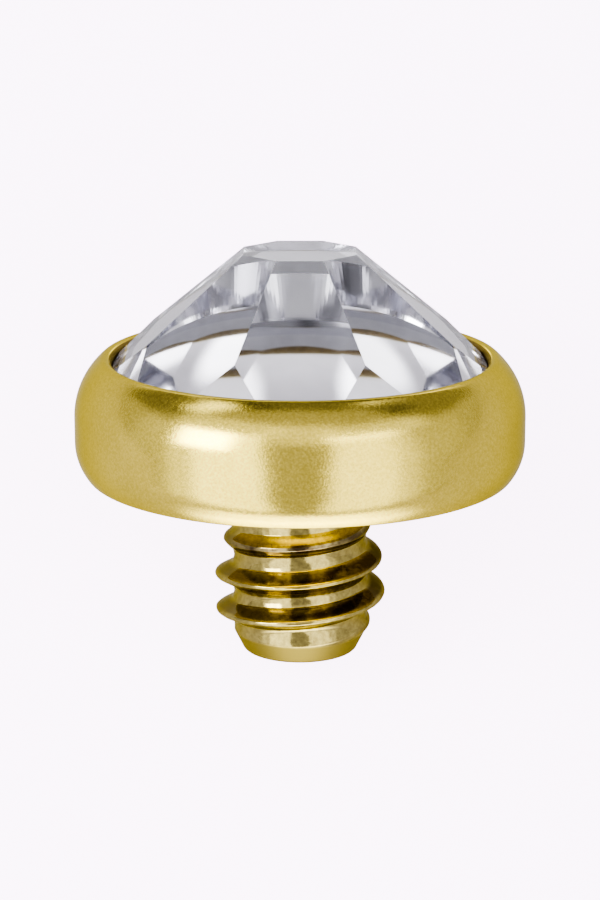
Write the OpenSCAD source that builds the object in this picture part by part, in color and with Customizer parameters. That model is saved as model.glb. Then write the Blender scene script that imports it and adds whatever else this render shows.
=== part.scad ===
// Dermal anchor top: a round bezel cup with one clear cut stone and a threaded post below it.
// Millimetres. The part lies as it does when it is put down: on the edge of its post's tip and
// on the edge of its underside, with the stone's side up. The surface that it lies on is z = 0,
// and X is across the part. Each piece is drawn upright first, on its own axis with the flat
// underside of the setting at z = 0, and rest_pose() then lays it down.

/* [Stone] */
// Diameter of the stone at its girdle
stone_d = 2.48; // [2:0.02:3.4]
// Width of the table, across its corners
table_d = 0.8; // [0.5:0.05:1.4]
// Height of the table above the girdle
crown_h = 0.765; // [0.5:0.005:1.1]
// How far the small girdle facets reach up between the main facets
break_h = 0.22; // [0.1:0.01:0.35]
// Thickness of the girdle
girdle_h = 0.1; // [0.02:0.01:0.15]
// Depth of the stone below its girdle
pavilion_h = 0.27; // [0.24:0.01:0.5]
// Diameter of the stone's flat back
back_d = 1.9; // [1.2:0.05:2.1]
// Radial clearance between the stone and its cup
stone_gap = 0.01; // [0.005:0.005:0.03]

/* [Setting] */
// Radial width of the rim outside the stone's cup
rim_w = 0.25; // [0.2:0.01:0.4]
// Radius of the round upper part of the rim
rim_top_round = 0.51; // [0.4:0.01:0.62]
// Radius of the round lower part of the rim
rim_base_round = 0.35; // [0.25:0.01:0.45]
// How far the underside's edge lies in from the outside of the rim
base_inset = 0.08; // [0.04:0.01:0.12]
// Radius of the bead along the lip of the cup
lip_round = 0.045; // [0.03:0.005:0.06]
// How far the lip stands above the girdle
lip_rise = 0.065; // [0.05:0.005:0.1]
// Thickness of the metal between the stone's cup and the post's socket
web_t = 0.15; // [0.14:0.01:0.3]

/* [Post] */
// Outside diameter of the thread
thread_d = 1.15; // [1:0.01:1.6]
// Depth of the thread, from its crests to its root
thread_depth = 0.13; // [0.08:0.005:0.15]
// Pitch of the thread, which is right-handed
pitch = 0.25; // [0.2:0.01:0.35]
// Length of the post below the setting
post_len = 1.24; // [0.9:0.01:2]
// Length of the plain neck between the setting and the thread
neck_h = 0.24; // [0.1:0.01:0.35]
// Length over which the thread rises out of the neck
lead_h = 0.42; // [0.1:0.01:0.5]
// Diameter of the flat end of the post
tip_d = 0.76; // [0.5:0.01:0.8]
// Height of the chamfer at the end of the post
tip_chamfer_h = 0.13; // [0.1:0.01:0.3]
// Length over which the thread fades out above the chamfer
runout_h = 0.16; // [0.1:0.01:0.3]
// How far the plain shank that is pressed into the setting stands out beyond the thread's crests
shank_step = 0.01; // [0.005:0.005:0.05]
// Depth of the socket for the shank
socket_h = 0.2; // [0.16:0.01:0.4]
// Radial clearance between the shank and its socket
shank_gap = 0.01; // [0.005:0.005:0.02]

/* [Hidden] */
$fn = 96;

// The stone has eight main facets and eight small ones between them at the girdle
MAIN_FACETS = 8;
FACET_STEP = 360 / MAIN_FACETS;
// Further than any facet cut has to reach
CUT = 4;

// Heights of the stone, up from the underside of the setting
back_z = socket_h + web_t;
girdle_z = back_z + pavilion_h;
crown_z = girdle_z + girdle_h;
table_z = crown_z + crown_h;

// The cup, the rim outside it and the arcs of the rim's section
cup_r = stone_d / 2 + stone_gap;
rim_r = cup_r + rim_w;
base_r = rim_r - base_inset;
low_arc_r = rim_r - rim_base_round;
top_arc_r = rim_r - rim_top_round;
lip_r = cup_r + lip_round;
lip_z = crown_z + lip_rise - lip_round;
// The underside cuts the lower arc, and the lip's bead touches the upper one from inside
low_arc_z = sqrt(pow(rim_base_round, 2) - pow(base_r - low_arc_r, 2));
top_arc_z = lip_z - sqrt(pow(rim_top_round - lip_round, 2) - pow(lip_r - top_arc_r, 2));

// The stone's facets: apothem of the table and slope of the main facets
table_apothem = table_d / 2 * cos(FACET_STEP / 2);
main_slope = crown_h / (stone_d / 2 - table_apothem);
// A girdle facet's plane meets the edge between two main facets at this distance from the axis
break_r = (table_apothem + (crown_h - break_h) / main_slope) / cos(FACET_STEP / 2);
break_slope = break_h / (stone_d / 2 - break_r);

// The thread's section, from one crest to the next: the place along the pitch, as a share of it,
// and the height above the root, as a share of the thread's depth
PLACE = 0;
RISE = 1;
THREAD_SHAPE = [
    [0, 1],
    [1 / 16, 0.94],
    [3 / 10, 0.06],
    [1 / 2, 0],
    [7 / 10, 0.06],
    [15 / 16, 0.94],
    [1, 1],
];
// The last row is the first one again, a pitch further on
KNOTS = len(THREAD_SHAPE) - 1;
// Facets round the thread
SIDES = 36;
// Height of the first whole crest on the +X side of the post, below the underside
crest_z = -0.09;
// How far the threaded solid reaches up into the shank, so that the two are one piece
overlap_h = 0.06;
shank_r = thread_d / 2 + shank_step;
root_r = thread_d / 2 - thread_depth;
tip_r = tip_d / 2;
chamfer_z = tip_chamfer_h - post_len;
tip_z = -post_len;

// Lying down, the part touches the surface with its rim and with the post: with the edge of the
// tip, or with the lowest whole crest if that stands out further. Each is a radius and a depth.
POST_CONTACTS = [
    [tip_r, post_len],
    [thread_d / 2, -chamfer_z - runout_h],
];

// Angle between the underside and a line that runs from a point of the post to the rim and leaves
// the rim above it. It touches the lower arc, or the underside's edge if the arc ends before that.
function tilt_over(point) =
    let (to_arc = [low_arc_r - point[0], low_arc_z + point[1]])
    let (arc_tilt = atan2(to_arc[1], to_arc[0]) - asin(rim_base_round / norm(to_arc)))
    let (arc_end = acos((base_r - low_arc_r) / rim_base_round))
    90 - arc_tilt < arc_end ? arc_tilt : atan2(point[1], base_r - point[0]);

lie_tilt = max([for (point = POST_CONTACTS) tilt_over(point)]);
lift = max([for (point = POST_CONTACTS) point[0] * sin(lie_tilt) + point[1] * cos(lie_tilt)]);
// Along Y the part then reaches from the post or the near side of the rim to the far side
front_y = min(
    -tip_r * cos(lie_tilt) - post_len * sin(lie_tilt),
    -low_arc_r * cos(lie_tilt) + low_arc_z * sin(lie_tilt) - rim_base_round
);
back_y = max(
    top_arc_r * cos(lie_tilt) + top_arc_z * sin(lie_tilt) + rim_top_round,
    table_d / 2 * cos(lie_tilt) + table_z * sin(lie_tilt)
);

// Lays a piece down and brings the middle of the part over the origin
module rest_pose() {
    translate([0, -(front_y + back_y) / 2, lift])
        rotate([-lie_tilt, 0, 0])
            children();
}

// Section of the whole setting before it is bored out, with its arcs tangent to the rim's band
module rim_section() {
    intersection() {
        square([rim_r, table_z]);
        union() {
            translate([low_arc_r, low_arc_z]) circle(rim_base_round);
            translate([0, low_arc_z]) square([rim_r, top_arc_z - low_arc_z]);
            rim_top_section();
            translate([lip_r, lip_z]) circle(lip_round);
            square([lip_r, lip_z]);
        }
    }
}

// The part of the upper arc that lies outside the line from its centre through the lip's bead
module rim_top_section() {
    intersection() {
        translate([top_arc_r, top_arc_z]) circle(rim_top_round);
        polygon([
            [top_arc_r, top_arc_z],
            [rim_r + rim_top_round, top_arc_z],
            [rim_r + rim_top_round, lip_z + rim_top_round],
            [
                top_arc_r + (lip_r - top_arc_r) * (lip_z - top_arc_z + rim_top_round) / (lip_z - top_arc_z),
                lip_z + rim_top_round,
            ],
        ]);
    }
}

// Hollow for the stone: a flat floor, a cone under the pavilion and a straight wall up to the lip
module cup_hollow() {
    rotate_extrude()
        polygon([
            [0, back_z],
            [back_d / 2 + stone_gap, back_z],
            [cup_r, girdle_z],
            [cup_r, table_z],
            [0, table_z],
        ]);
}

module setting() {
    color("goldenrod")
        rest_pose()
            difference() {
                rotate_extrude() rim_section();
                cup_hollow();
                translate([0, 0, -socket_h]) cylinder(h = 2 * socket_h, r = shank_r + shank_gap);
            }
}

// Everything above a plane that comes down to the girdle's edge in the direction turn
module facet_cut(turn, slope) {
    rotate([0, 0, turn])
        translate([stone_d / 2, 0, crown_z])
            rotate([0, atan(slope), 0])
                translate([-CUT, -CUT, 0])
                    cube([2 * CUT, 2 * CUT, CUT]);
}

// Round blank of the stone: the girdle's cylinder up to the table and the cone down to the flat back
module stone_blank() {
    translate([0, 0, girdle_z]) cylinder(h = table_z - girdle_z, r = stone_d / 2);
    translate([0, 0, back_z]) cylinder(h = pavilion_h, r1 = back_d / 2, r2 = stone_d / 2);
}

module stone() {
    color("gainsboro")
        rest_pose()
            difference() {
                stone_blank();
                for (i = [0:MAIN_FACETS - 1]) {
                    facet_cut(i * FACET_STEP, main_slope);
                    facet_cut((i + 0.5) * FACET_STEP, break_slope);
                }
            }
}

// Radius of the post's core: the chamfer, and the thread's root above it
function core_r(z) = z < chamfer_z
    ? tip_r + (root_r - tip_r) * (z - tip_z) / tip_chamfer_h
    : root_r;

// How much of the thread's depth there is at a height, from none at the chamfer and at the neck
// to all of it
function fade(z) = max(0, min(1, (z - chamfer_z) / runout_h, (-neck_h - z) / lead_h));

// Share of a pitch that z lies above the crest below it, in the direction angle
function above_crest(z, angle) =
    let (turns = (z - crest_z) / pitch - angle / 360)
    turns - floor(turns);

function thread_r(z, angle) =
    core_r(z) + thread_depth * fade(z) * lookup(above_crest(z, angle), THREAD_SHAPE);

// Rows of points follow the helix, one for each knot of the section, from well under the tip to
// well above the shank's end. A row that runs past either end of the solid is held at that end.
first_turn = floor((tip_z - crest_z) / pitch) - 2;
last_turn = ceil((overlap_h - crest_z) / pitch) + 1;
ROWS = (last_turn - first_turn) * KNOTS;

function row_z(row, angle) =
    let (z = crest_z + pitch * (first_turn + floor(row / KNOTS) + THREAD_SHAPE[row % KNOTS][PLACE] + angle / 360))
    max(tip_z, min(overlap_h, z));

// A row's rise over the root is its own knot's, except where it is held at an end
function row_r(row, angle) =
    let (z = row_z(row, angle))
    z == tip_z || z == overlap_h
        ? thread_r(z, angle)
        : core_r(z) + thread_depth * fade(z) * THREAD_SHAPE[row % KNOTS][RISE];

// Going once round leads from a row to the row a pitch above it
function thread_point(side, row) = side < SIDES
    ? side * ROWS + row
    : min(row + KNOTS, ROWS - 1);

// Where two rows are held at the same end, their points coincide and the faces between them vanish
module thread_solid() {
    points = [
        for (side = [0:SIDES - 1], row = [0:ROWS - 1])
            let (angle = side * 360 / SIDES)
            let (r = row_r(row, angle))
            [r * cos(angle), r * sin(angle), row_z(row, angle)]
    ];
    bottom = len(points);
    walls = [
        for (side = [0:SIDES - 1], row = [0:ROWS - 2])
            each [
                [thread_point(side, row), thread_point(side, row + 1), thread_point(side + 1, row + 1)],
                [thread_point(side, row), thread_point(side + 1, row + 1), thread_point(side + 1, row)],
            ]
    ];
    ends = [
        for (side = [0:SIDES - 1])
            each [
                [bottom, thread_point(side, 0), thread_point(side + 1, 0)],
                [bottom + 1, thread_point(side + 1, ROWS - 1), thread_point(side, ROWS - 1)],
            ]
    ];
    polyhedron(concat(points, [[0, 0, tip_z], [0, 0, overlap_h]]), concat(walls, ends));
}

module threaded_post() {
    color("darkgoldenrod")
        rest_pose()
            union() {
                cylinder(h = socket_h, r = shank_r);
                thread_solid();
            }
}

setting();
stone();
threaded_post();
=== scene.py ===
"""Dermal anchor top, dressed for rendering: a satin gold bezel cup with a clear cut stone over
silver foil, and a polished threaded post, lying on a plain pale floor.

Sizes repeat those of the part's own model, in millimetres. Each piece is drawn upright first,
with the flat underside of the setting at z = 0, and lay_down() then brings it to the pose that
it lies in.
"""
import math

import bmesh
import bpy
import numpy as np
from mathutils import Matrix, Vector


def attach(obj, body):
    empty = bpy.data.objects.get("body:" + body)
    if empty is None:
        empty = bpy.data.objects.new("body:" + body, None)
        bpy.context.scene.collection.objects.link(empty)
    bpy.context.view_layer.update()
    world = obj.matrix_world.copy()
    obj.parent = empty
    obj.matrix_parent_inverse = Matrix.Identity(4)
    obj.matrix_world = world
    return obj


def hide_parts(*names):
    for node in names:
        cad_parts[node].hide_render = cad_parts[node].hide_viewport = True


MM = 0.001

# Stone
STONE_D = 2.48
TABLE_D = 0.8
CROWN_H = 0.765
BREAK_H = 0.22
GIRDLE_H = 0.1
PAVILION_H = 0.27
BACK_D = 1.9
STONE_GAP = 0.01
MAIN_FACETS = 8

# Setting
RIM_W = 0.25
RIM_TOP_ROUND = 0.51
RIM_BASE_ROUND = 0.35
BASE_INSET = 0.08
LIP_ROUND = 0.045
LIP_RISE = 0.065
WEB_T = 0.15

# Post
THREAD_D = 1.15
THREAD_DEPTH = 0.13
PITCH = 0.25
POST_LEN = 1.24
NECK_H = 0.24
LEAD_H = 0.42
TIP_D = 0.76
TIP_CHAMFER_H = 0.13
RUNOUT_H = 0.16
SHANK_STEP = 0.01
SOCKET_H = 0.2
SHANK_GAP = 0.01
CREST_Z = -0.09
THREAD_PLACES = (0, 1 / 16, 3 / 10, 1 / 2, 7 / 10, 15 / 16, 1)
THREAD_RISES = (1, 0.94, 0.06, 0, 0.06, 0.94, 1)

# Heights and radii that follow from them
BACK_Z = SOCKET_H + WEB_T
GIRDLE_Z = BACK_Z + PAVILION_H
CROWN_Z = GIRDLE_Z + GIRDLE_H
TABLE_Z = CROWN_Z + CROWN_H
STONE_R = STONE_D / 2
CUP_R = STONE_R + STONE_GAP
RIM_R = CUP_R + RIM_W
BASE_R = RIM_R - BASE_INSET
LOW_ARC_R = RIM_R - RIM_BASE_ROUND
TOP_ARC_R = RIM_R - RIM_TOP_ROUND
LIP_R = CUP_R + LIP_ROUND
LIP_Z = CROWN_Z + LIP_RISE - LIP_ROUND
LOW_ARC_Z = math.sqrt(RIM_BASE_ROUND ** 2 - (BASE_R - LOW_ARC_R) ** 2)
TOP_ARC_Z = LIP_Z - math.sqrt((RIM_TOP_ROUND - LIP_ROUND) ** 2 - (LIP_R - TOP_ARC_R) ** 2)
SHANK_R = THREAD_D / 2 + SHANK_STEP
SOCKET_R = SHANK_R + SHANK_GAP
ROOT_R = THREAD_D / 2 - THREAD_DEPTH
TIP_R = TIP_D / 2
TIP_Z = -POST_LEN
CHAMFER_Z = TIP_Z + TIP_CHAMFER_H

# The part lies on the edge of its tip and on the edge of its underside
LIE_TILT = math.atan2(POST_LEN, BASE_R - TIP_R)
LIFT = TIP_R * math.sin(LIE_TILT) + POST_LEN * math.cos(LIE_TILT)
FRONT_Y = -LOW_ARC_R * math.cos(LIE_TILT) + LOW_ARC_Z * math.sin(LIE_TILT) - RIM_BASE_ROUND
FRONT_Y = min(FRONT_Y, -TIP_R * math.cos(LIE_TILT) - POST_LEN * math.sin(LIE_TILT))
BACK_Y = TOP_ARC_R * math.cos(LIE_TILT) + TOP_ARC_Z * math.sin(LIE_TILT) + RIM_TOP_ROUND
BACK_Y = max(BACK_Y, TABLE_D / 2 * math.cos(LIE_TILT) + TABLE_Z * math.sin(LIE_TILT))
SHIFT_Y = -(FRONT_Y + BACK_Y) / 2
LIE_DOWN = Matrix.Translation((0, SHIFT_Y, LIFT)) @ Matrix.Rotation(-LIE_TILT, 4, "X")

# How finely the curves are drawn
ROUND_STEPS = 288
LOW_ARC_STEPS = 24
TOP_ARC_STEPS = 40
LIP_STEPS = 14
THREAD_STEPS = 192
THREAD_RINGS = 210

# Small edges that are rounded off or bevelled, and the share of a sine in the polished thread
SETTING_EDGE = 0.008
CORNER_SHARPNESS = 0.6
TIP_EDGE = 0.012
SHANK_EDGE = 0.004
SHANK_BEVEL = 0.01
THREAD_POLISH = 0.2

# The foil lies this far above the cup's floor
FOIL_GAP = 0.006

# Finishes and painted shade of the post: the painted shade in the thread's grooves starts a little
# above the root, ends a little below the crest and is weak on the root itself. The others fade in
# over a short length.
SHADE_ABOVE_ROOT = 0.012
SHADE_BELOW_CREST = 0.01
ROOT_FADE = 0.03
CREST_FADE = 0.02
ROOT_SHADE = 0.2
TIP_FADE = 0.02
NECK_FADE = 0.04
# Lengths and slopes below these count as none
NO_LENGTH = 0.001
NO_SLOPE = 0.05
# How far the grain's speckle moves the gold's colour, and how fast the painted shade on the post's
# flanks grows towards +X
SPECKLE = 0.55
SHADE_LEAN = 260

# Camera, in degrees above the rim's plane, millimetres and the photograph's pixels
CAMERA_ELEVATION = 14.2
CAMERA_DISTANCE = 18
FOCAL_PIXELS = 2697
SHIFT_PIXELS = 24
PHOTO_HEIGHT = 900
SENSOR_HEIGHT = 36
# Height of the place on the part's axis that the camera and the softboxes face
AIM_Z = 0.298

# The floor's radiance and tint as it is seen, and the places where it glows for what it lights:
# each is a middle (x, y), a half width, a half length and a radiance
FLOOR_SEEN = 1.9
FLOOR_SEEN_TINT = (1, 0.83, 1.03, 1)
FLOOR_BASE = 0.1
FLOOR_SPOTS = (
    (0, -10, 6, 6, 2.0),
    (0, -4.2, 3.2, 1.7, 1.6),
    (0.52, 2.45, 0.23, 0.5, 2.0),
    (-0.5, 2.6, 0.22, 0.5, 1.4),
    (0, 1.55, 0.8, 0.95, 0.34),
)

# Surroundings: radiance, and places where it is multiplied. Places are seen from the rim: an
# azimuth from the camera's side and an elevation from the rim's plane, with half a width and
# half a height in degrees, and then the factor.
WORLD_LEVEL = 0.5
WORLD_SEEN = 2.2
WORLD_PATCHES = (
    (2, 36, 15, 14, 1.7),
    (0, 68, 60, 9, 0.9),
    (0, 90, 17, 17, 0.42),
    (180, 62, 26, 10, 1.9),
    (180, 18, 14, 30, 0.35),
    (140, 10, 10, 40, 3.0),
    (-136, 20, 9, 26, 2.4),
    (102, 46, 22, 13, 0.55),
    (150, 64, 16, 9, 0.25),
    (-102, 46, 22, 13, 0.45),
    (-152, 68, 12, 8, 0.3),
    (-68, 71, 8, 6, 0.4),
    (76, 60, 7, 10, 0.4),
)
# Softboxes: name, azimuth and elevation as above, width and height in degrees, and radiance
SOFTBOXES = (
    ("left_wide", -36, -8, 36, 84, 0.85),
    ("left_outer", -43, -8, 50, 84, 0.45),
    ("left_upper", -44, 42, 48, 16, 0.4),
    ("left_key", -50, 20, 26, 22, 4.5),
    ("left_side", -76, 0, 30, 76, 0.12),
    ("right_wide", 32, -9, 34, 80, 0.6),
    ("right_outer", 38, -9, 46, 80, 0.45),
    ("right_upper", 44, 38, 52, 14, 0.35),
    ("right_key", 34, 29, 36, 5, 1.2),
    ("right_side", 76, 0, 30, 76, 0.1),
    ("back_left", -76.5, 58, 12, 19, 1.25),
    ("back_right", 83.5, 67.5, 6, 5, 1.2),
)
SOFTBOX_DISTANCE = 60


def lay_down(point):
    """A point of the upright part, in millimetres, as it lies in the row's frame, in metres."""
    return LIE_DOWN @ Vector(point) * MM


def lay_down_direction(direction):
    """A direction of the upright part as it points in the row's frame."""
    return LIE_DOWN.to_3x3() @ Vector(direction)


def finish_mesh(name, mesh, materials, smooth_angle=None):
    """Lays an upright mesh down, shades it and links it under its name."""
    mesh.transform(Matrix.Scale(MM, 4) @ LIE_DOWN)
    for material in materials:
        mesh.materials.append(material)
    if smooth_angle is None:
        mesh.shade_flat()
    else:
        mesh.shade_smooth()
        mesh.set_sharp_from_angle(angle=math.radians(smooth_angle))
    mesh.update()
    piece = bpy.data.objects.new(name, mesh)
    bpy.context.scene.collection.objects.link(piece)
    return piece


def rings_to_mesh(name, rings, first_pole, last_pole):
    """A closed mesh from rings of points, with a fan at each end."""
    steps = len(rings[0])
    points = [first_pole] + [point for ring in rings for point in ring] + [last_pole]
    faces = []
    last = len(points) - 1
    for i in range(steps):
        j = (i + 1) % steps
        faces.append((0, 1 + j, 1 + i))
        top = 1 + (len(rings) - 1) * steps
        faces.append((last, top + i, top + j))
        for k in range(len(rings) - 1):
            low = 1 + k * steps
            high = low + steps
            faces.append((low + i, low + j, high + j, high + i))
    mesh = bpy.data.meshes.new(name)
    mesh.from_pydata(points, [], faces)
    mesh.validate()
    return mesh


def arc_points(centre_r, centre_z, radius, start, end, steps):
    """Points (r, z) along an arc between two angles in degrees."""
    angles = np.radians(np.linspace(start, end, steps))
    return [(centre_r + radius * math.cos(a), centre_z + radius * math.sin(a)) for a in angles]


def softened(corner, before, after, size):
    """Three points that round off a corner of a profile between its two neighbours."""
    corner, before, after = Vector(corner), Vector(before), Vector(after)
    enter = corner + (before - corner).normalized() * size
    leave = corner + (after - corner).normalized() * size
    middle = ((enter + leave) / 2).lerp(corner, CORNER_SHARPNESS)
    return [tuple(enter), tuple(middle), tuple(leave)]


def revolve(name, profile):
    """Revolves a profile of (r, z) points that starts and ends on the axis."""
    angles = np.linspace(0, 2 * math.pi, ROUND_STEPS, endpoint=False)
    rings = [[(r * math.cos(a), r * math.sin(a), z) for a in angles] for r, z in profile[1:-1]]
    return rings_to_mesh(name, rings, (0, 0, profile[0][1]), (0, 0, profile[-1][1]))


def setting_profile():
    """The setting's section, from the socket's roof round the outside to the cup's floor."""
    base_angle = math.degrees(math.atan2(LOW_ARC_Z, BASE_R - LOW_ARC_R))
    lip_angle = math.degrees(math.atan2(LIP_Z - TOP_ARC_Z, LIP_R - TOP_ARC_R))
    profile = [(0, SOCKET_H), (SOCKET_R, SOCKET_H)]
    profile += softened((SOCKET_R, 0), (SOCKET_R, SOCKET_H), (BASE_R, 0), SETTING_EDGE)
    low_arc = arc_points(LOW_ARC_R, LOW_ARC_Z, RIM_BASE_ROUND, -base_angle, 0, LOW_ARC_STEPS)
    profile += softened((BASE_R, 0), (SOCKET_R, 0), low_arc[1], SETTING_EDGE)
    profile += low_arc[1:]
    profile += arc_points(TOP_ARC_R, TOP_ARC_Z, RIM_TOP_ROUND, 0, lip_angle, TOP_ARC_STEPS)
    profile += arc_points(LIP_R, LIP_Z, LIP_ROUND, lip_angle, 180, LIP_STEPS)[1:]
    profile += [(CUP_R, GIRDLE_Z), (BACK_D / 2 + STONE_GAP, BACK_Z), (0, BACK_Z)]
    return profile


def make_setting(outside, inside):
    """The cup, with a darker, rougher gold inside that paints the recess's shade, from its floor to
    just under the lip's top.
    """
    mesh = revolve("setting_body", setting_profile())
    inside_r = LIP_R - 0.6 * LIP_ROUND
    # Faces inside the lip get the darker gold: painted shade of the recess round the stone
    for face in mesh.polygons:
        r = math.hypot(face.center.x, face.center.y)
        if r < inside_r and face.center.z > BACK_Z - NO_LENGTH:
            face.material_index = 1
    piece = finish_mesh("setting_body", mesh, [outside, inside], 32)
    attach(piece, "root")
    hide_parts("setting")


def thread_radius(z, angle):
    """Radius of the post below the setting at a height and an angle in turns."""
    if z < CHAMFER_Z:
        core = TIP_R + (ROOT_R - TIP_R) * (z - TIP_Z) / TIP_CHAMFER_H
    else:
        core = ROOT_R
    fade = max(0.0, min(1.0, (z - CHAMFER_Z) / RUNOUT_H, (-NECK_H - z) / LEAD_H))
    share = ((z - CREST_Z) / PITCH - angle) % 1.0
    rise = float(np.interp(share, THREAD_PLACES, THREAD_RISES))
    # Rounds the crests and the roots a little, as polishing does
    wave = 0.5 + 0.5 * math.cos(2 * math.pi * share)
    rise += (wave - rise) * THREAD_POLISH
    return core + THREAD_DEPTH * fade * rise


def ramp(value, start, length):
    """0 up to the start, 1 from a length beyond it, and even in between."""
    return min(1.0, max(0.0, (value - start) / length))


def mark_finish(mesh):
    """Marks the post's points: red for the painted shade on the flanks, green on tip and neck, blue
    on the shank.
    """
    crest_start = THREAD_D / 2 - SHADE_BELOW_CREST - CREST_FADE
    shares = []
    for vertex in mesh.vertices:
        r = math.hypot(vertex.co.x, vertex.co.y)
        z = vertex.co.z
        above_root = ramp(r, ROOT_R + SHADE_ABOVE_ROOT, ROOT_FADE)
        below_crest = 1 - ramp(r, crest_start, CREST_FADE)
        # Painted shade in the thread's grooves: strongest on the flanks, weaker on the root
        flank_shade = max(ROOT_SHADE, above_root * below_crest)
        tip = 1 - ramp(z, CHAMFER_Z - TIP_FADE / 2, TIP_FADE)
        neck = ramp(z, -NECK_H, NECK_FADE)
        shank = 1.0 if z > -NO_LENGTH else 0.0
        dull = max(tip, neck) * (1 - shank)
        shares += [flank_shade * (1 - dull) * (1 - shank), dull, shank, 1.0]
    finish_and_shade = mesh.attributes.new("finish_and_shade", "FLOAT_COLOR", "POINT")
    finish_and_shade.data.foreach_set("color", shares)


def make_post(material):
    """The post, from its tip up to the end of its shank in the setting's socket."""
    turns = np.linspace(0, 1, THREAD_STEPS, endpoint=False)
    rings = []

    def ring(z, radii):
        angles = 2 * math.pi * turns
        rings.append([(r * math.cos(a), r * math.sin(a), z) for r, a in zip(radii, angles)])

    tip_profile = (
        (TIP_R * 0.5, TIP_Z),
        (TIP_R - TIP_EDGE, TIP_Z),
        (TIP_R - 0.3 * TIP_EDGE, TIP_Z + 0.25 * TIP_EDGE),
    )
    shank_profile = (
        (SHANK_R - SHANK_EDGE, 0),
        (SHANK_R, SHANK_EDGE),
        (SHANK_R, SOCKET_H - SHANK_BEVEL),
        (SHANK_R - SHANK_BEVEL, SOCKET_H),
    )
    for r, z in tip_profile:
        ring(z, [r] * THREAD_STEPS)
    for z in np.linspace(TIP_Z + TIP_EDGE, 0, THREAD_RINGS):
        ring(z, [thread_radius(z, turn) for turn in turns])
    for r, z in shank_profile:
        ring(z, [r] * THREAD_STEPS)
    mesh = rings_to_mesh("threaded_post_body", rings, (0, 0, TIP_Z), (0, 0, SOCKET_H))
    mark_finish(mesh)
    piece = finish_mesh("threaded_post_body", mesh, [material], 40)
    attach(piece, "root")
    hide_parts("threaded_post")


def make_stone(glass, foil, ground):
    """Cuts the facets off a round blank, one plane at a time."""
    table_apothem = TABLE_D / 2 * math.cos(math.pi / MAIN_FACETS)
    main_slope = CROWN_H / (STONE_R - table_apothem)
    break_r = (table_apothem + (CROWN_H - BREAK_H) / main_slope) / math.cos(math.pi / MAIN_FACETS)
    break_slope = BREAK_H / (STONE_R - break_r)
    back_z = BACK_Z + FOIL_GAP
    profile = [
        (0, back_z),
        (BACK_D / 2, back_z),
        (STONE_R, GIRDLE_Z),
        (STONE_R, TABLE_Z),
        (0, TABLE_Z),
    ]
    blank = revolve("stone_body", profile)
    cut = bmesh.new()
    cut.from_mesh(blank)
    for i in range(2 * MAIN_FACETS):
        turn = i * math.pi / MAIN_FACETS
        slope = break_slope if i % 2 else main_slope
        normal = Vector((math.cos(turn) * slope, math.sin(turn) * slope, 1)).normalized()
        place = Vector((math.cos(turn) * STONE_R, math.sin(turn) * STONE_R, CROWN_Z))
        parts = cut.verts[:] + cut.edges[:] + cut.faces[:]
        opened = bmesh.ops.bisect_plane(
            cut, geom=parts, dist=1e-6, plane_co=place, plane_no=normal, clear_outer=True
        )
        rim = [e for e in opened["geom_cut"] if isinstance(e, bmesh.types.BMEdge)]
        bmesh.ops.holes_fill(cut, edges=rim, sides=0)
    # Joins the faces of each facet into one
    flat = math.radians(0.05)
    bmesh.ops.dissolve_limit(cut, angle_limit=flat, verts=cut.verts[:], edges=cut.edges[:])
    bmesh.ops.recalc_face_normals(cut, faces=cut.faces[:])
    for face in cut.faces:
        if face.normal.z < -NO_SLOPE:
            face.material_index = 1
        elif face.normal.z < NO_SLOPE:
            face.material_index = 2
    cut.to_mesh(blank)
    cut.free()
    piece = finish_mesh("stone_body", blank, [glass, foil, ground])
    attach(piece, "root")
    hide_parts("stone")


def new_material(name):
    material = bpy.data.materials.new(name)
    material.use_nodes = True
    nodes = material.node_tree.nodes
    return material, nodes, material.node_tree.links, nodes["Principled BSDF"]


def feed(links, value, socket):
    """Sets a socket to a value, or links another node's output to it."""
    if isinstance(value, bpy.types.NodeSocket):
        links.new(value, socket)
    else:
        socket.default_value = value


def math_node(nodes, links, operation, first, second):
    """Result of a sum on two values, each a number or another node's output."""
    node = nodes.new("ShaderNodeMath")
    node.operation = operation
    for socket, value in zip(node.inputs, (first, second)):
        feed(links, value, socket)
    return node.outputs["Value"]


def mix_node(nodes, links, data_type, factor, first, second):
    """Mix of two numbers or two colours, each a value or another node's output."""
    node = nodes.new("ShaderNodeMix")
    node.data_type = data_type
    for name, value in (("Factor", factor), ("A", first), ("B", second)):
        feed(links, value, node.inputs[name])
    return node.outputs["Result"]


def map_node(nodes, links, value, source, target, interpolation="LINEAR"):
    """A value mapped from one range to another."""
    node = nodes.new("ShaderNodeMapRange")
    node.interpolation_type = interpolation
    node.inputs["From Min"].default_value, node.inputs["From Max"].default_value = source
    node.inputs["To Min"].default_value, node.inputs["To Max"].default_value = target
    links.new(value, node.inputs["Value"])
    return node.outputs["Result"]


def noise_node(nodes, links, scale, detail, roughness=0.5):
    """Noise over the object's own coordinates, which are in metres."""
    place = nodes.new("ShaderNodeTexCoord")
    node = nodes.new("ShaderNodeTexNoise")
    node.inputs["Scale"].default_value = scale
    node.inputs["Detail"].default_value = detail
    node.inputs["Roughness"].default_value = roughness
    links.new(place.outputs["Object"], node.inputs["Vector"])
    return node.outputs["Fac"]


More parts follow.
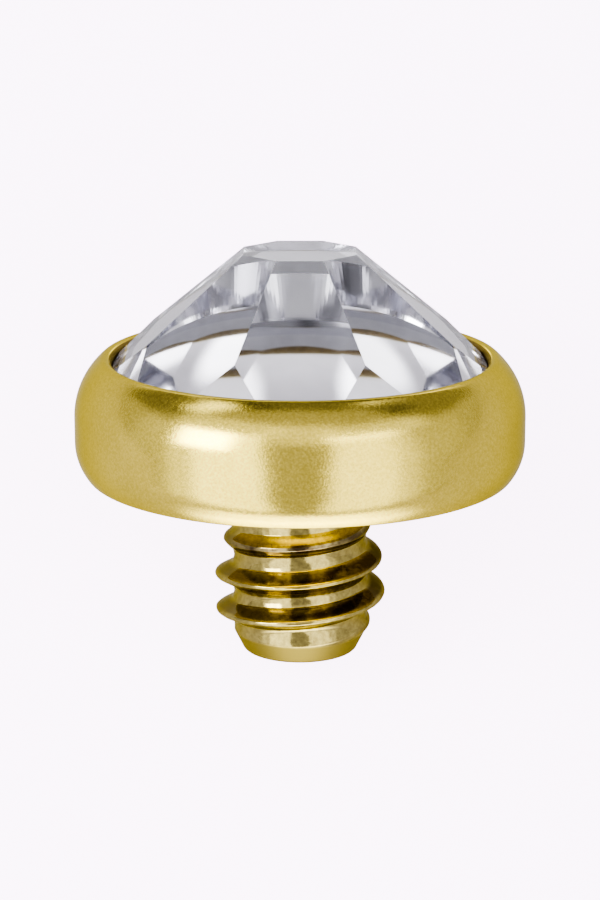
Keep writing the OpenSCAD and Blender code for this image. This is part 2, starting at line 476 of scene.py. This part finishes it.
def gold_material(name, colours, metal_roughness, grain_scale, grain_depth):
    """Gold with a fine grain: slight colour drift, uneven polish and a fine bump."""
    material, nodes, links, shader = new_material(name)
    shader.inputs["Metallic"].default_value = 1.0
    # Keeps the gold colour at grazing angles
    shader.inputs["Specular Tint"].default_value = (0.85, 0.8, 0.44, 1)
    cloud = noise_node(nodes, links, 2400, 3)
    grain = noise_node(nodes, links, grain_scale, 4, 0.65)
    # The colour drifts in soft clouds, and speckles with the grain
    speckle = map_node(nodes, links, grain, (0.35, 0.65), (-SPECKLE, SPECKLE))
    drift = math_node(nodes, links, "ADD", cloud, speckle)
    colour = mix_node(nodes, links, "RGBA", drift, (*colours[0], 1), (*colours[1], 1))
    links.new(colour, shader.inputs["Base Color"])
    polish = map_node(nodes, links, grain, (0.3, 0.7), metal_roughness)
    links.new(polish, shader.inputs["Roughness"])
    bump = nodes.new("ShaderNodeBump")
    bump.inputs["Strength"].default_value = 0.35
    bump.inputs["Distance"].default_value = grain_depth
    links.new(grain, bump.inputs["Height"])
    links.new(bump.outputs["Normal"], shader.inputs["Normal"])
    return material


def shade_and_finish_post(material, shaded_flank_colours, tip_colour, tip_roughness, shank_colour):
    """Painted shade on the post's flanks, mottled and heavier towards +X, a duller tip and neck and a
    paler shank on its polished gold.
    """
    nodes, links = material.node_tree.nodes, material.node_tree.links
    shader = nodes["Principled BSDF"]
    finish_and_shade = nodes.new("ShaderNodeVertexColor")
    finish_and_shade.layer_name = "finish_and_shade"
    parts = nodes.new("ShaderNodeSeparateColor")
    links.new(finish_and_shade.outputs["Color"], parts.inputs["Color"])
    # Painted shade on the flanks, mottled by a noise
    flank_shade = noise_node(nodes, links, 9000, 4, 0.7)
    # The painted shade is heavier on the +X side
    place = nodes.new("ShaderNodeTexCoord")
    sides = nodes.new("ShaderNodeSeparateXYZ")
    links.new(place.outputs["Object"], sides.inputs["Vector"])
    lean = math_node(nodes, links, "MULTIPLY", sides.outputs["X"], SHADE_LEAN)
    flank_shade = map_node(nodes, links, math_node(nodes, links, "ADD", flank_shade, lean), (0.42, 0.6), (0, 1))
    flank = mix_node(nodes, links, "RGBA", flank_shade, (*shaded_flank_colours[0], 1), (*shaded_flank_colours[1], 1))
    colour = shader.inputs["Base Color"].links[0].from_socket
    colour = mix_node(nodes, links, "RGBA", parts.outputs["Red"], colour, flank)
    colour = mix_node(nodes, links, "RGBA", parts.outputs["Green"], colour, (*tip_colour, 1))
    colour = mix_node(nodes, links, "RGBA", parts.outputs["Blue"], colour, (*shank_colour, 1))
    links.new(colour, shader.inputs["Base Color"])
    polish = shader.inputs["Roughness"].links[0].from_socket
    polish = mix_node(nodes, links, "FLOAT", parts.outputs["Green"], polish, tip_roughness)
    links.new(polish, shader.inputs["Roughness"])


def glass_material():
    """Clear cut glass with the faint unevenness of its polish."""
    material, nodes, links, shader = new_material("clear_cut_glass")
    shader.inputs["Base Color"].default_value = (0.97, 0.97, 0.985, 1)
    shader.inputs["Transmission Weight"].default_value = 1.0
    shader.inputs["IOR"].default_value = 1.55
    haze = noise_node(nodes, links, 3000, 3)
    polish = map_node(nodes, links, haze, (0.35, 0.75), (0, 0.04))
    links.new(polish, shader.inputs["Roughness"])
    return material


def silver_material(name, colours, cloud_scale, roughness):
    """Silvery grey, slightly mottled, for the stone's foil and its ground girdle."""
    material, nodes, links, shader = new_material(name)
    shader.inputs["Metallic"].default_value = 1.0
    cloud = noise_node(nodes, links, cloud_scale, 4)
    tone = mix_node(nodes, links, "RGBA", cloud, (*colours[0], 1), (*colours[1], 1))
    links.new(tone, shader.inputs["Base Color"])
    shader.inputs["Roughness"].default_value = roughness
    return material


def floor_glow(nodes, links):
    """The floor's own light for what it lights: a faint base and a few soft oval places."""
    place = nodes.new("ShaderNodeTexCoord")
    glow = FLOOR_BASE
    for x, y, half_x, half_y, radiance in FLOOR_SPOTS:
        shape = nodes.new("ShaderNodeMapping")
        shape.inputs["Location"].default_value = (-x / half_x, -y / half_y, 0)
        shape.inputs["Scale"].default_value = (1 / (half_x * MM), 1 / (half_y * MM), 0)
        links.new(place.outputs["Object"], shape.inputs["Vector"])
        reach = nodes.new("ShaderNodeVectorMath")
        reach.operation = "LENGTH"
        links.new(shape.outputs["Vector"], reach.inputs[0])
        fade = map_node(nodes, links, reach.outputs["Value"], (0.6, 1.3), (radiance, 0), "SMOOTHSTEP")
        glow = math_node(nodes, links, "ADD", fade, glow)
    return glow


def make_floor():
    """A plain pale floor, far larger than the part, with its top at the part's lowest point."""
    half = 400 * MM
    corners = [(-half, -half, 0), (half, -half, 0), (half, half, 0), (-half, half, 0)]
    mesh = bpy.data.meshes.new("floor")
    mesh.from_pydata(corners, [], [(0, 1, 2, 3)])
    material, nodes, links, shader = new_material("pale_floor")
    shader.inputs["Base Color"].default_value = (0.5, 0.485, 0.505, 1)
    shader.inputs["Roughness"].default_value = 0.9
    shader.inputs["Specular IOR Level"].default_value = 0.1
    # The floor as it is seen directly is even and slightly lilac; what it lights with differs
    directly = nodes.new("ShaderNodeLightPath").outputs["Is Camera Ray"]
    glow = mix_node(nodes, links, "FLOAT", directly, floor_glow(nodes, links), FLOOR_SEEN)
    links.new(glow, shader.inputs["Emission Strength"])
    tint = mix_node(nodes, links, "RGBA", directly, (1, 1, 1, 1), FLOOR_SEEN_TINT)
    links.new(tint, shader.inputs["Emission Color"])
    mesh.materials.append(material)
    floor = bpy.data.objects.new("floor", mesh)
    bpy.context.scene.collection.objects.link(floor)


def rim_direction(azimuth, elevation):
    """Unit vector towards a place seen from the rim: azimuth 0 is the camera's side, 90 is +X."""
    azimuth, elevation = math.radians(azimuth), math.radians(elevation)
    flat = math.cos(elevation)
    direction = (math.sin(azimuth) * flat, -math.cos(azimuth) * flat, math.sin(elevation))
    return lay_down_direction(direction)


def view_axes(azimuth, elevation):
    """Unit vectors towards a place seen from the rim, across it and up it."""
    way = rim_direction(azimuth, elevation)
    across = lay_down_direction((0, 0, 1)).cross(way).normalized()
    return way, across, way.cross(across)


def softbox(name, azimuth, elevation, width, height, radiance):
    """A rectangular area light that faces the part and spans the given angles."""
    light = bpy.data.lights.new(name, "AREA")
    light.shape = "RECTANGLE"
    light.size = 2 * SOFTBOX_DISTANCE * MM * math.tan(math.radians(width / 2))
    light.size_y = 2 * SOFTBOX_DISTANCE * MM * math.tan(math.radians(height / 2))
    light.energy = radiance * math.pi * light.size * light.size_y
    lamp = bpy.data.objects.new(name, light)
    way, across, up = view_axes(azimuth, elevation)
    lamp.matrix_world = Matrix((across, up, way)).transposed().to_4x4()
    lamp.location = AIM + way * SOFTBOX_DISTANCE * MM
    bpy.context.scene.collection.objects.link(lamp)


def patch(nodes, links, direction, azimuth, elevation, half_width, half_height, inside):
    """Strength that is inside within a rectangle seen in a direction and 1 round it."""
    parts = []
    # Straight up has no way across it
    for axis in view_axes(azimuth, min(elevation, 89.9)):
        dot = nodes.new("ShaderNodeVectorMath")
        dot.operation = "DOT_PRODUCT"
        dot.inputs[1].default_value = axis
        links.new(direction, dot.inputs[0])
        parts.append(dot.outputs["Value"])
    ahead = math_node(nodes, links, "MAXIMUM", parts[0], 0.001)
    reach = []
    for part, half in ((parts[1], half_width), (parts[2], half_height)):
        share = math_node(nodes, links, "DIVIDE", part, ahead)
        share = math_node(nodes, links, "DIVIDE", share, math.tan(math.radians(half)))
        reach.append(math_node(nodes, links, "ABSOLUTE", share, 0))
    reach = math_node(nodes, links, "MAXIMUM", *reach)
    return map_node(nodes, links, reach, (0.85, 1.15), (inside, 1), "SMOOTHSTEP")


def make_world():
    """Soft grey surroundings with lighter and darker places, as a photographer's tent has them."""
    world = bpy.data.worlds.new("studio")
    bpy.context.scene.world = world
    world.use_nodes = True
    nodes, links = world.node_tree.nodes, world.node_tree.links
    background = nodes["Background"]
    background.inputs["Color"].default_value = (1, 0.985, 1.01, 1)
    place = nodes.new("ShaderNodeTexCoord")
    strength = WORLD_LEVEL
    for spot in WORLD_PATCHES:
        factor = patch(nodes, links, place.outputs["Generated"], *spot)
        strength = math_node(nodes, links, "MULTIPLY", factor, strength)
    directly = nodes.new("ShaderNodeLightPath").outputs["Is Camera Ray"]
    strength = mix_node(nodes, links, "FLOAT", directly, strength, WORLD_SEEN)
    links.new(strength, background.inputs["Strength"])


def make_camera():
    """The photograph's view, fitted to its outline."""
    elevation = math.radians(CAMERA_ELEVATION)
    away = lay_down_direction((0, -math.cos(elevation), math.sin(elevation)))
    data = bpy.data.cameras.new("camera")
    data.sensor_fit = "VERTICAL"
    data.sensor_height = SENSOR_HEIGHT
    data.lens = SENSOR_HEIGHT * FOCAL_PIXELS / PHOTO_HEIGHT
    data.shift_y = -SHIFT_PIXELS / PHOTO_HEIGHT
    data.clip_start = 0.0005
    data.clip_end = 5
    camera = bpy.data.objects.new("camera", data)
    camera.location = AIM + away * CAMERA_DISTANCE * MM
    camera.rotation_euler = away.to_track_quat("Z", "Y").to_euler()
    bpy.context.scene.collection.objects.link(camera)
    bpy.context.scene.camera = camera


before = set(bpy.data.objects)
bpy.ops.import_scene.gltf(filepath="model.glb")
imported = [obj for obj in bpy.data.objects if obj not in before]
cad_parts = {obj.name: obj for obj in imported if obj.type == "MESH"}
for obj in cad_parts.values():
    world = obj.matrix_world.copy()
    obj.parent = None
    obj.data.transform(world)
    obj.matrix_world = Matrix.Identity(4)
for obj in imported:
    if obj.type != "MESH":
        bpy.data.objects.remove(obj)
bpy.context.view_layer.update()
AIM = lay_down((0, 0, AIM_Z))

satin_gold = gold_material(
    "satin_gold",
    colours=((0.72, 0.58, 0.145), (0.88, 0.72, 0.205)),
    metal_roughness=(0.12, 0.19),
    grain_scale=60000,
    grain_depth=0.0022 * MM,
)
# Darker, rougher gold: painted shade on the cup's inner wall and floor, round the stone
dull_shaded_gold = gold_material(
    "dull_shaded_gold",
    colours=((0.3, 0.22, 0.1), (0.42, 0.32, 0.15)),
    metal_roughness=(0.4, 0.6),
    grain_scale=20000,
    grain_depth=0.002 * MM,
)
polished_gold = gold_material(
    "polished_gold",
    colours=((0.46, 0.38, 0.15), (0.64, 0.54, 0.215)),
    metal_roughness=(0.07, 0.16),
    grain_scale=26000,
    grain_depth=0.0012 * MM,
)
# Painted shade on the post's flanks, darker towards +X; a duller tip and neck and a paler shank
shade_and_finish_post(
    polished_gold,
    shaded_flank_colours=((0.34, 0.28, 0.145), (0.16, 0.115, 0.065)),
    tip_colour=(0.385, 0.31, 0.09),
    tip_roughness=0.48,
    shank_colour=(0.8, 0.65, 0.175),
)
foil = silver_material("silver_foil", ((0.8, 0.8, 0.84), (0.92, 0.92, 0.95)), 5200, 0.06)
ground = silver_material("ground_girdle", ((0.78, 0.78, 0.8), (0.95, 0.95, 0.97)), 14000, 0.5)

make_setting(satin_gold, dull_shaded_gold)
make_stone(glass_material(), foil, ground)
make_post(polished_gold)
make_floor()
make_world()
make_camera()
for box in SOFTBOXES:
    softbox(*box)

scene = bpy.context.scene
scene.view_settings.view_transform = "AgX"
scene.view_settings.look = "AgX - Very High Contrast"
# The stone bounces light many times between its facets and its foil
scene.cycles.max_bounces = 32
scene.cycles.glossy_bounces = 32
scene.cycles.transmission_bounces = 32
